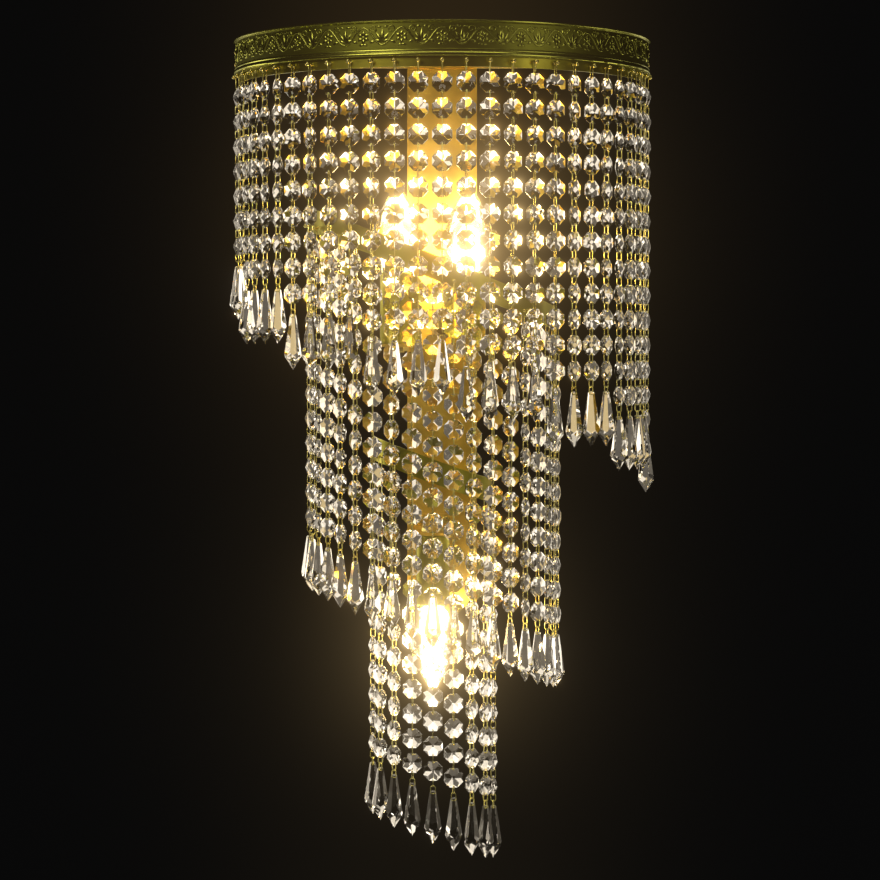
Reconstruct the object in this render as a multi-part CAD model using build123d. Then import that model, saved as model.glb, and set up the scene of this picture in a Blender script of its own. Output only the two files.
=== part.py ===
from build123d import *
import os
from math import cos, radians, sin, sqrt

# Crystal wall sconce: three half-round hoops of cut-crystal strands on a brass wall plate.
# Millimetres. The wall is the plane y = 0, the front faces -Y, +Z is up, and the origin is
# the centre of the wall plate, midway between its two fixing holes.
# Bearings round a hoop are in degrees from straight ahead (-Y), positive towards +X.

# ---- wall plate ----
plate_width = 50.0
plate_above_screws = 6.2         # over the upper crossbar's screws
plate_below_lamp = 53.0          # the plate's lower end, below the lower lamp's bracket
plate_thickness = 2.0
plate_corner = 4.0
fixing_spacing = 88.9            # centres of the two wall screws
fixing_hole_radius = 2.6
cable_hole_radius = 5.5
bush_bore_radius = 4.0
bush_flange_radius = 7.5
bush_flange_thickness = 1.2

# ---- crystals ----
bead_width = 14.0                # octagon, across flats
bead_thickness = 6.6
bead_pitch = 17.6                # centre to centre down a strand
drop_width = 12.3
drop_length = 38.0
drop_top_radius = 2.2
drop_widest_at = 29.0            # below the drop's top
drop_sides = 6
link_wire = 0.9                  # brass wire of the links
hook_to_bead = 14.5              # hook pin down to the first bead's centre
bead_to_drop = 14.0              # last bead's centre down to the drop's top
link_into_drop = 3.0

# ---- hook pins ----
pin_radius = 0.6
pin_head_radius = 1.5
pin_head_length = 2.8
pin_reach = 2.6                  # hoop face to the back of the head
pin_sides = 5
hook_clearance = 0.8             # under the pin, where the top link hangs

# ---- the three tiers: upper, middle, lower ----
tier_names = ("upper", "middle", "lower")
lower_shift = -6.5               # the lower tiers and the lamps stand left of the plate's centre line
tier_shift = {"upper": 0.0, "middle": lower_shift, "lower": lower_shift}
strand_gap = {"upper": 2.1, "middle": 0.5, "lower": 0.85}    # between neighbours' widest beads
tier_span = {"upper": 163.3, "middle": 168.0, "lower": 153.6}  # bearing from first to last strand
tier_slope = {"upper": 0.0, "middle": 0.4, "lower": 0.36}   # fall per mm towards +X
upper_hook_height = 178.6
tier_drop = 143.0                # from one tier's hooks to the next, on the centre line
# Neighbouring strands that swing together, and the beads on each of them, from left to right.
group_counts = {"upper": (2, 4, 4, 4, 4, 4, 4, 1), "middle": (4, 4, 3, 4, 4), "lower": (3, 3, 3)}
bead_counts = {"upper": (7, 8, 9, 10, 11, 12, 13, 14), "middle": (12,) * 5, "lower": (12,) * 3}
strand_turn = 20.0               # the most that a strand is turned about itself
bead_turn = 6.0                  # the most that a bead is turned from the rest of its strand

# ---- hoops and their crossbars ----
hoop_thickness = 1.2
hoop_height = 17.0
hook_above_edge = 4.3            # hooks above a hoop's lower edge
rim_height = 29.0
plain_rim = 6.9                  # of the rim, left uncovered below the band
band_height = 24.2
band_wall = 1.8
band_lip = 1.6                   # the band's mouldings, proud of its wall
moulding_height = 5.8
top_lip_height = 1.6
slip = 0.1                       # between pieces that are slipped together
bar_thickness = 1.5
upper_bar_height = 14.0
bar_height = 9.0
bar_tab = 14.0                   # the bar's ends, bent forward along the hoop
tab_clearance = 0.1

# ---- rivets and screws ----
rivet_radius = 1.6
rivet_head_radius = 2.4
rivet_head_height = 1.2
rivet_spacing = 8.6              # of the two rivets at each end of the band
rivet_from_wall = 6.6
screw_radius = 1.95
screw_head_radius = 3.7
screw_head_height = 2.2
screw_hole_radius = 2.15
thread_hole_radius = 2.0
bar_screw_offset = 15.0
hardware_sides = 10              # faces round a screw, a rivet and their holes

# ---- lamps ----
lamp_half_spacing = 25.0
upper_lamp_out = 50.0            # from the wall
lower_lamp_out = 20.5
upper_seat = -11.0               # the bracket's face that the upper holders stand on
lower_seat_drop = 39.6           # from the lower hooks to the face that the lower holder hangs from
holder_length = 45.0
holder_radius = 11.2
holder_stem_radius = 8.0
holder_stem_length = 15.0
socket_radius = 7.3
socket_depth = 27.0
sleeve_radius = 12.5
sleeve_wall = 0.8
sleeve_length = 50.0
nipple_radius = 4.9
nipple_length = 14.0
nipple_bore_radius = 3.4
nut_radius = 8.0
nut_height = 3.0
contact_radius = 2.4
contact_height = 1.4
round_sides = 20                 # faces round a lamp's turned pieces

# ---- bulbs ----
bulb_radius = 17.5
glass_length = 66.0
neck_radius = 7.0
cap_radius = 6.9
cap_length = 22.0
cap_lift = 1.0                   # the glass above the holder's rim

# ---- lamp brackets ----
bracket_thickness = 2.0
bracket_margin = 14.0            # round each lamp's centre
bracket_neck = 36.0
upper_flange = 18.0
upper_screw_drop = 9.9           # below the shelf's underside
upper_bracket_screw = 10.0       # each side of the lamps' middle
lower_bracket_width = 30.0
lower_flange = 14.0
lower_screw_rise = 7.0           # above the shelf's top face
lower_bracket_screw = 9.0

# ---- worked out from the sizes above ----
strand_count = {tier: sum(group_counts[tier]) for tier in tier_names}
strand_angle = {tier: tier_span[tier] / (strand_count[tier] - 1) for tier in tier_names}
hang_radius = {tier: (bead_width + strand_gap[tier]) / 2 / sin(radians(strand_angle[tier] / 2))
               for tier in tier_names}
hoop_outer = {tier: hang_radius[tier] - pin_reach / 2 for tier in tier_names}
hook_height = {tier: upper_hook_height - i * tier_drop for i, tier in enumerate(tier_names)}
rim_bottom = upper_hook_height - hook_above_edge
band_bottom = rim_bottom + plain_rim
band_inner = hoop_outer["upper"] + slip
band_face = band_inner + band_wall
band_outer = band_face + band_lip
bar_front = plate_thickness + bar_thickness
bar_middle = {tier: hook_height[tier] - hook_above_edge + hoop_height / 2 for tier in tier_names}
wall_low = band_bottom + moulding_height    # the band's plain wall, between its moulding and its lip
wall_high = band_bottom + band_height - top_lip_height
band_rivet = wall_low + rivet_head_radius + slip
bar_middle["upper"] = band_rivet + rivet_spacing / 2
plate_top = bar_middle["upper"] + plate_above_screws
lower_seat = hook_height["lower"] - lower_seat_drop
plate_bottom = lower_seat - plate_below_lamp
upper_screw_height = upper_seat - bracket_thickness - upper_screw_drop
lower_screw_height = lower_seat + bracket_thickness + lower_screw_rise
lamp_places = {
    "left": (lower_shift - lamp_half_spacing, -upper_lamp_out, upper_seat, 1),
    "right": (lower_shift + lamp_half_spacing, -upper_lamp_out, upper_seat, 1),
    "lower": (lower_shift, -lower_lamp_out, lower_seat, -1),
}


# ---------------------------------------------------------------- helpers
def save(name, solids):
    """Write one sub-part's file from its list of solids."""
    shape = solids[0] if len(solids) == 1 else Compound(solids)
    export_step(shape, f"parts/{name}.step")


def faceted(rings, sides, start=0.0):
    """A flat-faced turned form about +Z from (radius, height) rings; a radius of 0 is a point."""
    def corner(radius, height, k):
        bearing = radians(start + 360.0 * k / sides)
        return (radius * cos(bearing), radius * sin(bearing), height)

    faces = []
    for (r0, z0), (r1, z1) in zip(rings, rings[1:]):
        for k in range(sides):
            points = [corner(r0, z0, k)]
            if r0 > 0:
                points.append(corner(r0, z0, k + 1))
            if r1 > 0:
                points.append(corner(r1, z1, k + 1))
            points.append(corner(r1, z1, k))
            faces.append(Face(Wire.make_polygon(points)))
    for radius, height in (rings[0], rings[-1]):
        if radius > 0:
            faces.append(Face(Wire.make_polygon([corner(radius, height, k) for k in range(sides)])))
    solid = Solid(Shell(faces))
    return solid if solid.volume > 0 else Solid(Shell([-face for face in faces]))


def hook_place(tier, bearing):
    """The point on a hook pin where its strand hangs."""
    x = tier_shift[tier] + hang_radius[tier] * sin(radians(bearing))
    y = -hang_radius[tier] * cos(radians(bearing))
    return (x, y, hook_height[tier] - tier_slope[tier] * x)


def strand_bearings(tier):
    """Bearings of a tier's strands, evenly spaced about straight ahead."""
    first = -tier_span[tier] / 2
    return [first + i * strand_angle[tier] for i in range(strand_count[tier])]


def sloped_slab(tier, low, high, reach=400.0):
    """The space between two parallel planes that slope as the tier does, low and high on x = 0."""
    fall = tier_slope[tier] * reach
    outline = Polyline((-reach, low + fall), (reach, low - fall), (reach, high - fall),
                       (-reach, high + fall), close=True)
    return extrude(Plane.XZ * make_face(outline), amount=reach, both=True)


def half_ring(tier, low, high):
    """A tier's half-round wall, standing in front of the wall plate's thickness."""
    outer = hoop_outer[tier]
    ring = Circle(outer) - Circle(outer - hoop_thickness)
    front = Pos(0, -outer - plate_thickness) * Rectangle(4 * outer, 2 * outer)
    return extrude(Pos(tier_shift[tier], 0, low) * (ring & front), amount=high - low)


def bar_height_at(tier, x):
    """Height of a crossbar's middle line at x."""
    return bar_middle[tier] - tier_slope[tier] * x


def prism(radius, low, high, sides):
    """A many-sided bar along +Z."""
    return faceted(((radius, low), (radius, high)), sides)


def out_of_wall(x, z, solid):
    """Set a piece drawn along +Z so that it stands straight out of the wall plane at (x, z)."""
    return solid.moved(Location((x, 0, z), (90, 0, 0)))


def screw_hole(x, z, radius):
    """A cutter for a screw's hole through the plate and what lies on it."""
    return out_of_wall(x, z, prism(radius, -bar_front, 2 * bar_front, hardware_sides))


def round_hole(z, radius):
    """A cutter for a true round hole through the plate, on its centre line."""
    return Pos(0, 0, z) * Rot(90, 0, 0) * Cylinder(radius, 4 * plate_thickness)


# ---------------------------------------------------------------- crystal strands
bead_sides = 8
half_turn = 180 / bead_sides     # puts a flat edge at the top and the bottom
corner_radius = bead_width / 2 / cos(radians(half_turn))
bead_rings = ((0, -bead_thickness / 2), (corner_radius, 0), (0, bead_thickness / 2))
bead = Rot(90, 0, 0) * faceted(bead_rings, bead_sides, half_turn)
drop_rings = ((0, -drop_length), (drop_width / 2, -drop_widest_at), (drop_top_radius, 0))
drop = faceted(drop_rings, drop_sides)


def strand_crystals(tier, index, bearing, beads):
    """The octagons of one strand, each turned a little about it, and the drop at its end."""
    x, y, z = hook_place(tier, bearing)
    strand = bearing + strand_turn * sin(2.4 * index)
    solids = []
    for row in range(beads):
        turn = strand + bead_turn * sin(1.7 * row + index)
        height = z - hook_to_bead - row * bead_pitch
        solids.append(bead.moved(Location((x, y, height), (0, 0, turn))))
    drop_top = z - hook_to_bead - (beads - 1) * bead_pitch - bead_to_drop
    turn = bearing + strand_turn * cos(1.9 * index)
    solids.append(drop.moved(Location((x, y, drop_top), (0, 0, turn))))
    return solids


def strand_links(tier, bearing, beads):
    """The row of wire links that joins a strand, from its hook pin into its drop."""
    x, y, z = hook_place(tier, bearing)
    top = z - pin_radius - hook_clearance
    bottom = z - hook_to_bead - (beads - 1) * bead_pitch - bead_to_drop - link_into_drop
    wire = Box(link_wire, link_wire, top - bottom, align=(Align.CENTER, Align.CENTER, Align.MIN))
    return wire.solid().moved(Location((x, y, bottom), (0, 0, bearing)))


def make_strands():
    for tier in tier_names:
        bearings = strand_bearings(tier)
        first = 0
        for number, strands in enumerate(group_counts[tier], start=1):
            beads = bead_counts[tier][number - 1]
            crystals = []
            links = []
            for index in range(first, first + strands):
                crystals += strand_crystals(tier, index, bearings[index], beads)
                links.append(strand_links(tier, bearings[index], beads))
            save(f"crystals_{tier}_{number}", crystals)
            save(f"links_{tier}_{number}", links)
            first += strands


def make_hook_pins():
    """One headed pin for each strand, standing straight out of its hoop."""
    rings = ((pin_radius, 0), (pin_radius, pin_reach), (pin_head_radius, pin_reach + pin_head_length / 2),
             (0, pin_reach + pin_head_length))
    pin = Rot(90, 0, 0) * faceted(rings, pin_sides, 90)
    pin = Pos(0, pin_reach / 2, 0) * pin
    pins = []
    for tier in tier_names:
        for bearing in strand_bearings(tier):
            pins.append(pin.moved(Location(hook_place(tier, bearing), (0, 0, bearing))))
    save("hook_pins", pins)


# ---------------------------------------------------------------- hoops, band and crossbars
def rivet_places(tier):
    """(side, height) of each rivet at the two ends of a hoop."""
    if tier == "upper":
        heights = (band_rivet, band_rivet + rivet_spacing)
        return [(side, height) for side in (-1, 1) for height in heights]
    ends = [(side, tier_shift[tier] + side * hoop_outer[tier]) for side in (-1, 1)]
    return [(side, bar_height_at(tier, x)) for side, x in ends]


def along_x(tier, side, height, solid):
    """Set a piece drawn along +Z so that it points outwards at one end of a hoop."""
    return solid.moved(Location((tier_shift[tier], -rivet_from_wall, height), (0, 90 * side, 0)))


def cut_rivet_holes(tier, solid):
    inner = hoop_outer[tier] / 2
    hole = prism(rivet_radius + slip, inner, 3 * inner, hardware_sides)
    for side, height in rivet_places(tier):
        solid -= along_x(tier, side, height, hole)
    return solid


def make_rim():
    """The plain hoop behind the band; the upper strands' pins stand on its lower edge."""
    rim = half_ring("upper", rim_bottom, rim_bottom + rim_height)
    save("rim_hoop", [cut_rivet_holes("upper", rim).solid()])


def make_top_band():
    """The pressed band round the rim: a moulding below, a plain wall for the relief, and a lip."""
    top = band_bottom + band_height
    half_lip = band_lip / 2
    profile = Polyline((band_inner, band_bottom), (band_outer - half_lip, band_bottom),
                       (band_outer, band_bottom + half_lip), (band_outer, wall_low - band_lip),
                       (band_face, wall_low), (band_face, wall_high), (band_outer, wall_high + half_lip),
                       (band_outer, top), (band_inner, top), close=True)
    band = revolve(Plane.XZ * make_face(profile), Axis.Z, 360)
    size = 4 * band_outer
    band &= Pos(0, -size / 2 - plate_thickness, 0) * Box(size, size, size)
    save("top_band", [cut_rivet_holes("upper", band).solid()])


def make_hoop(tier):
    """A plain hoop that falls towards +X, cut by two sloping planes."""
    low = hook_height[tier] - hook_above_edge
    fall = tier_slope[tier] * (hoop_outer[tier] - tier_shift[tier]) + hoop_height
    wall = half_ring(tier, low - fall, low + 2 * fall)
    hoop = wall & sloped_slab(tier, low, low + hoop_height)
    save(f"{tier}_hoop", [cut_rivet_holes(tier, hoop).solid()])


def tab_outside(tier):
    """How far out the outer faces of a crossbar's bent ends stand."""
    inner = hoop_outer[tier] - hoop_thickness
    return sqrt(inner ** 2 - (plate_thickness + bar_tab) ** 2) - tab_clearance


def make_crossbar(tier, height):
    """The flat bar across the wall plate, its ends bent forward inside the hoop."""
    tab_front = plate_thickness + bar_tab
    tab_face = tab_outside(tier)
    plan = Polyline((-tab_face, -plate_thickness), (tab_face, -plate_thickness), (tab_face, -tab_front),
                    (tab_face - bar_thickness, -tab_front), (tab_face - bar_thickness, -bar_front),
                    (bar_thickness - tab_face, -bar_front), (bar_thickness - tab_face, -tab_front),
                    (-tab_face, -tab_front), close=True)
    middle = bar_middle[tier]
    reach = tier_slope[tier] * (tab_face - tier_shift[tier]) + height
    bar = extrude(Pos(tier_shift[tier], 0, middle - reach) * make_face(plan), amount=2 * reach)
    bar &= sloped_slab(tier, middle - height / 2, middle + height / 2)
    for side in (-1, 1):
        x = side * bar_screw_offset
        bar -= screw_hole(x, bar_height_at(tier, x), screw_hole_radius)
    save(f"{tier}_crossbar", [cut_rivet_holes(tier, bar).solid()])


def make_rivets():
    """Rivets through each hoop and the crossbar's bent end; the upper ones go through the band too."""
    rivets = []
    for tier in tier_names:
        inside = tab_outside(tier) - bar_thickness
        outside = band_face if tier == "upper" else hoop_outer[tier]
        rings = ((rivet_head_radius, inside - rivet_head_height), (rivet_head_radius, inside),
                 (rivet_radius, inside), (rivet_radius, outside), (rivet_head_radius, outside),
                 (0.6 * rivet_head_radius, outside + rivet_head_height))
        rivet = faceted(rings, hardware_sides)
        rivets += [along_x(tier, side, height, rivet) for side, height in rivet_places(tier)]
    save("band_rivets", rivets)


# ---------------------------------------------------------------- wall plate and screws
def screw_places():
    """(x, z, thickness of what is held) of each screw in the wall plate."""
    places = []
    for tier in tier_names:
        for side in (-1, 1):
            x = side * bar_screw_offset
            places.append((x, bar_height_at(tier, x), bar_thickness))
    for side in (-1, 1):
        places.append((lower_shift + side * upper_bracket_screw, upper_screw_height, bracket_thickness))
        places.append((lower_shift + side * lower_bracket_screw, lower_screw_height, bracket_thickness))
    return places


def make_wall_plate():
    outline = RectangleRounded(plate_width, plate_top - plate_bottom, plate_corner)
    plate = extrude(Plane.XZ * Pos(0, (plate_top + plate_bottom) / 2) * outline, amount=plate_thickness)
    for side in (-1, 1):
        plate -= round_hole(side * fixing_spacing / 2, fixing_hole_radius)
    plate -= round_hole(0, cable_hole_radius)
    for x, z, held in screw_places():
        plate -= screw_hole(x, z, thread_hole_radius)
    save("wall_plate", [plate.solid()])


def make_cable_bush():
    """The plastic bush that lines the cable entry, its flange on the plate's front."""
    body_radius = cable_hole_radius - slip
    body = Cylinder(body_radius, plate_thickness, align=(Align.CENTER, Align.CENTER, Align.MIN))
    flange = Pos(0, 0, plate_thickness) * Cylinder(bush_flange_radius, bush_flange_thickness,
                                                   align=(Align.CENTER, Align.CENTER, Align.MIN))
    bush = body + flange - Cylinder(bush_bore_radius, 8 * plate_thickness)
    save("cable_bush", [(Rot(90, 0, 0) * bush).solid()])


def make_screws():
    """Pan-head screws that hold the crossbars and the lamp brackets to the plate."""
    screws = []
    for x, z, held in screw_places():
        seat = plate_thickness + held
        rings = ((screw_radius, 0), (screw_radius, seat), (screw_head_radius, seat),
                 (screw_head_radius, seat + screw_head_height / 2),
                 (0.7 * screw_head_radius, seat + screw_head_height))
        screws.append(out_of_wall(x, z, faceted(rings, hardware_sides)))
    save("frame_screws", screws)


# ---------------------------------------------------------------- lamps
def at_lamp(name, solid):
    """Set a turned piece, drawn upwards from its seat, on a lamp's axis."""
    x, y, seat, up = lamp_places[name]
    turn = (0, 0, 0) if up > 0 else (180, 0, 0)
    return solid.moved(Location((x, y, seat), turn))


def make_lamps():
    outer_rings = ((holder_stem_radius, 0), (holder_stem_radius, holder_stem_length),
                   (holder_radius, holder_stem_length + 2), (holder_radius, holder_length))
    holder = Part() + faceted(outer_rings, round_sides)
    socket_floor = holder_length - socket_depth
    holder -= prism(socket_radius, socket_floor, holder_length + 1, round_sides)
    holder -= prism(nipple_radius + slip, -1, nipple_length / 2 + 1, round_sides)
    holder = holder.solid()
    sleeve = Part() + prism(sleeve_radius, 0, sleeve_length, round_sides)
    sleeve -= prism(sleeve_radius - sleeve_wall, -1, sleeve_length + 1, round_sides)
    sleeve = sleeve.solid()
    contact = prism(contact_radius, socket_floor, socket_floor + contact_height, 8)
    nut_top = -bracket_thickness
    nipple = Part() + prism(nipple_radius, nut_top - nut_height - 1, nipple_length / 2, hardware_sides)
    nipple += prism(nut_radius, nut_top - nut_height, nut_top, 6)
    nipple -= prism(nipple_bore_radius, -nipple_length, nipple_length, hardware_sides)
    nipple = nipple.solid()
    contacts = []
    nipples = []
    for name in lamp_places:
        save(f"lampholder_{name}", [at_lamp(name, holder)])
        save(f"sleeve_{name}", [at_lamp(name, sleeve)])
        contacts.append(at_lamp(name, contact))
        nipples.append(at_lamp(name, nipple))
    save("lamp_contacts", contacts)
    save("lamp_nipples", nipples)


def make_bulbs():
    """Candle bulbs: a pointed glass on a screw cap that stands in the holder's socket."""
    base = holder_length + cap_lift
    shape = ((neck_radius, 0), (0.56 * bulb_radius, 0.07), (0.85 * bulb_radius, 0.21), (bulb_radius, 0.4),
             (0.87 * bulb_radius, 0.59), (0.53 * bulb_radius, 0.79), (0.18 * bulb_radius, 0.95), (0, 1))
    glass = faceted([(radius, base + share * glass_length) for radius, share in shape], round_sides)
    contact_end = base - cap_length - 3.5
    cap_rings = ((0.38 * cap_radius, contact_end), (0.38 * cap_radius, contact_end + 1.2),
                 (0.7 * cap_radius, base - cap_length), (cap_radius, base - cap_length + 2.5), (cap_radius, base))
    cap = faceted(cap_rings, round_sides)
    for name in lamp_places:
        save(f"bulb_glass_{name}", [at_lamp(name, glass)])
        save(f"bulb_cap_{name}", [at_lamp(name, cap)])


def make_brackets():
    """Two bent plates: a flange screwed to the wall plate and a shelf that the holders are bolted to."""
    reach = 2 * bracket_thickness
    nipple_hole = prism(nipple_radius + slip, -reach, reach, hardware_sides)
    half = lamp_half_spacing + bracket_margin
    front = upper_lamp_out + bracket_margin
    depth = front - plate_thickness
    neck = Pos(0, -plate_thickness - depth / 2) * Rectangle(bracket_neck, depth)
    cross = Pos(0, -upper_lamp_out) * SlotOverall(2 * half, 2 * bracket_margin)
    shelf = extrude(Pos(0, 0, -bracket_thickness) * (neck + cross), amount=bracket_thickness)
    flange = Pos(0, -plate_thickness - bracket_thickness / 2, -upper_flange / 2) * Box(
        bracket_neck, bracket_thickness, upper_flange)
    bracket = Pos(lower_shift, 0, upper_seat) * (shelf + flange)
    for name in ("left", "right"):
        x, y, seat, up = lamp_places[name]
        bracket -= Pos(x, y, seat) * nipple_hole
    for side in (-1, 1):
        bracket -= screw_hole(lower_shift + side * upper_bracket_screw, upper_screw_height, screw_hole_radius)
    save("upper_lamp_bracket", [bracket.solid()])

    depth = lower_lamp_out - plate_thickness
    neck = Pos(0, -plate_thickness - depth / 2) * Rectangle(lower_bracket_width, depth)
    end = Pos(0, -lower_lamp_out) * Circle(lower_bracket_width / 2)
    keep = Pos(0, -plate_thickness - 2 * depth) * Rectangle(4 * depth, 4 * depth)
    shelf = extrude((neck + end) & keep, amount=bracket_thickness)
    flange = Pos(0, -plate_thickness - bracket_thickness / 2, lower_flange / 2) * Box(
        lower_bracket_width, bracket_thickness, lower_flange)
    bracket = Pos(lower_shift, 0, lower_seat) * (shelf + flange)
    bracket -= Pos(lower_shift, -lower_lamp_out, lower_seat) * nipple_hole
    for side in (-1, 1):
        bracket -= screw_hole(lower_shift + side * lower_bracket_screw, lower_screw_height, screw_hole_radius)
    save("lower_lamp_bracket", [bracket.solid()])


os.makedirs("parts", exist_ok=True)
make_strands()
make_hook_pins()
make_rim()
make_top_band()
make_hoop("middle")
make_hoop("lower")
make_crossbar("upper", upper_bar_height)
make_crossbar("middle", bar_height)
make_crossbar("lower", bar_height)
make_rivets()
make_wall_plate()
make_cable_bush()
make_screws()
make_lamps()
make_bulbs()
make_brackets()
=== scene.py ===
# %% [markdown]
# # A crystal wall sconce
# Three half-round brass hoops hang strands of cut-glass octagons and drops round three candle bulbs.
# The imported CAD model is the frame: it gives every size and every place. This file dresses it. What is
# already right, such as the flat brass bars, keeps its CAD mesh and gets a finish. What the CAD model
# draws plainly, such as the crystals, the wire links and the pressed band, is made again here in full.

import math
from functools import partial

import bmesh
import bpy
from mathutils import Matrix, Vector


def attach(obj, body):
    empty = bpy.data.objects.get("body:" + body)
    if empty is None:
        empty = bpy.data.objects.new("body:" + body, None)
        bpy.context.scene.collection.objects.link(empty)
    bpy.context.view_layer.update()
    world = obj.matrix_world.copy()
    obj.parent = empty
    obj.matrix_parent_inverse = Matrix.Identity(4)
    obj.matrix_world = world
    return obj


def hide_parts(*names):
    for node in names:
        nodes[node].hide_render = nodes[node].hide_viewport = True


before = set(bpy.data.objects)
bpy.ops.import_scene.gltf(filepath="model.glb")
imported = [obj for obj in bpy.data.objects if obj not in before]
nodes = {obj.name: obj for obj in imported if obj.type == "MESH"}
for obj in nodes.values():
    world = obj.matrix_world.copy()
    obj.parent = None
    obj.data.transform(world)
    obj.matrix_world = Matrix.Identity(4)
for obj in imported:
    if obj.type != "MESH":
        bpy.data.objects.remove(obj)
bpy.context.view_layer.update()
scene = bpy.context.scene

# %% [markdown]
# ## Sizes that several pieces share
# The strands, the pins and the hoops all follow one rule: a hook stands at each bearing round a tier,
# and its strand hangs straight down from it. The same few sizes place the octagons, the links and the
# pins, so they are written once here, in metres and degrees. The middle strands hang closest together,
# so they are turned the most: that gives them room to swing past each other.

# %% Shared sizes
MM = 0.001
TIERS = {
    "upper": {"span": 163.3, "radius": 0.146944, "shift": 0.0, "height": 0.1786, "slope": 0.0, "turn": 12,
              "groups": (2, 4, 4, 4, 4, 4, 4, 1), "beads": (7, 8, 9, 10, 11, 12, 13, 14)},
    "middle": {"span": 168.0, "radius": 0.089112, "shift": -0.0065, "height": 0.0356, "slope": 0.4,
               "turn": 20, "groups": (4, 4, 3, 4, 4), "beads": (12,) * 5},
    "lower": {"span": 153.6, "radius": 0.044521, "shift": -0.0065, "height": -0.1074, "slope": 0.36,
              "turn": 12, "groups": (3, 3, 3), "beads": (12,) * 3},
}
BEAD_TURN = math.radians(6)
BEAD_WIDTH = 13.7 * MM
BEAD_PITCH = 17.6 * MM
HOOK_TO_BEAD = 14.5 * MM
BEAD_TO_DROP = 14.0 * MM
PIN_REACH = 2.6 * MM
PLATE = 2.0                      # mm, the wall plate's thickness, where the band ends


def hook_place(tier, bearing):
    """The point on a hook pin where its strand hangs."""
    size = TIERS[tier]
    x = size["shift"] + size["radius"] * math.sin(math.radians(bearing))
    y = -size["radius"] * math.cos(math.radians(bearing))
    return Vector((x, y, size["height"] - size["slope"] * x))


def tier_bearings(tier):
    """Bearings of a tier's strands from left to right, in degrees from straight ahead."""
    size = TIERS[tier]
    count = sum(size["groups"])
    return [size["span"] * (i / (count - 1) - 0.5) for i in range(count)]


for tier in TIERS:
    print(tier, "tier:", len(tier_bearings(tier)), "strands")

# %% [markdown]
# ## Making a mesh into a finished piece
# Every piece ends the same way: its mesh sits at the object's origin with its place in its vertices,
# it takes a finish, and it is told which body it rides on. One helper does this, so no piece can be
# left hanging without a body or a finish.

# %% Helpers for pieces
finishes = {}


def new_object(name, verts, faces, smooth=False):
    """An object from lists of points and faces."""
    mesh = bpy.data.meshes.new(name)
    mesh.from_pydata([tuple(v) for v in verts], [], faces)
    mesh.update()
    if smooth:
        mesh.shade_smooth()
    piece = bpy.data.objects.new(name, mesh)
    scene.collection.objects.link(piece)
    return piece


def settle(piece, body, slot, replaced, finish=None):
    """Give a piece the finish named by finish, or else by slot, set it on its body, and hide the CAD node
    that it stands for.
    """
    piece.data.materials.clear()
    piece.data.materials.append(finishes[finish or slot])
    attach(piece, body)
    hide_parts(replaced)


def lathe(name, profile, steps=48, closed=False, smooth=True):
    """Turn a list of (radius, height) points round +Z; a radius of 0 closes an end to one point."""
    verts = []
    rings = []
    for radius, height in profile:
        if radius < 1e-7:
            rings.append([len(verts)])
            verts.append((0, 0, height))
            continue
        rings.append(list(range(len(verts), len(verts) + steps)))
        for k in range(steps):
            turn = 2 * math.pi * k / steps
            verts.append((radius * math.cos(turn), radius * math.sin(turn), height))
    faces = []
    pairs = list(zip(rings, rings[1:])) + ([(rings[-1], rings[0])] if closed else [])
    for a, b in pairs:
        for k in range(steps):
            n = (k + 1) % steps
            if len(a) == 1 and len(b) > 1:
                faces.append((a[0], b[n], b[k]))
            elif len(b) == 1 and len(a) > 1:
                faces.append((a[k], a[n], b[0]))
            elif len(a) > 1:
                faces.append((a[k], a[n], b[n], b[k]))
    piece = new_object(name, verts, faces, smooth)
    turn_outwards(piece)
    return piece


def in_mm(points):
    """Points in metres, from millimetres."""
    return [tuple(value * MM for value in point) for point in points]


def between_loops(loops, count, closed=False):
    """Faces between loops of count points each, and from the last loop to the first where closed."""
    faces = []
    for i in range(loops if closed else loops - 1):
        a, b = i * count, (i + 1) % loops * count
        for k in range(count):
            n = (k + 1) % count
            faces.append((a + k, a + n, b + n, b + k))
    return faces


def turn_outwards(piece):
    """Make every face of a closed piece point outwards."""
    work = bmesh.new()
    work.from_mesh(piece.data)
    bmesh.ops.recalc_face_normals(work, faces=work.faces)
    work.to_mesh(piece.data)
    work.free()


def joined(name, parts):
    """One object from several, each given with the matrix that places it."""
    verts = []
    faces = []
    smooth = []
    for part, place in parts:
        start = len(verts)
        verts += [place @ v.co for v in part.data.vertices]
        faces += [[start + i for i in f.vertices] for f in part.data.polygons]
        smooth += [f.use_smooth for f in part.data.polygons]
    piece = new_object(name, verts, faces)
    for face, value in zip(piece.data.polygons, smooth):
        face.use_smooth = value
    for part in {part for part, place in parts}:
        bpy.data.objects.remove(part)
    return piece


print("helpers ready")

# %% [markdown]
# ## Finishes
# A finish on the real sconce is never one flat colour. Brass is lacquered and has been handled, so its
# gloss drifts a little from place to place and its colour with it. Each finish here is a Principled
# shader whose colour and roughness move between two values, driven by noise read from Object
# coordinates, so that the pattern stays on the metal whichever way the sconce is seen.

# %% A helper for finishes
def finish_nodes(name):
    """A new material with its shader, its node tree and its Object coordinates."""
    material = bpy.data.materials.new(name)
    material.use_nodes = True
    tree = material.node_tree
    shader = tree.nodes["Principled BSDF"]
    where = tree.nodes.new("ShaderNodeTexCoord").outputs["Object"]
    finishes[name] = material
    return shader, tree, where


def feed(tree, socket, value):
    """Link a socket to another's output, or set its value."""
    if isinstance(value, bpy.types.NodeSocket):
        tree.links.new(value, socket)
    else:
        socket.default_value = value


def calculate(tree, operation, *values):
    """A Math node's result."""
    node = tree.nodes.new("ShaderNodeMath")
    node.operation = operation
    for socket, value in zip(node.inputs, values):
        feed(tree, socket, value)
    return node.outputs[0]


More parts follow.
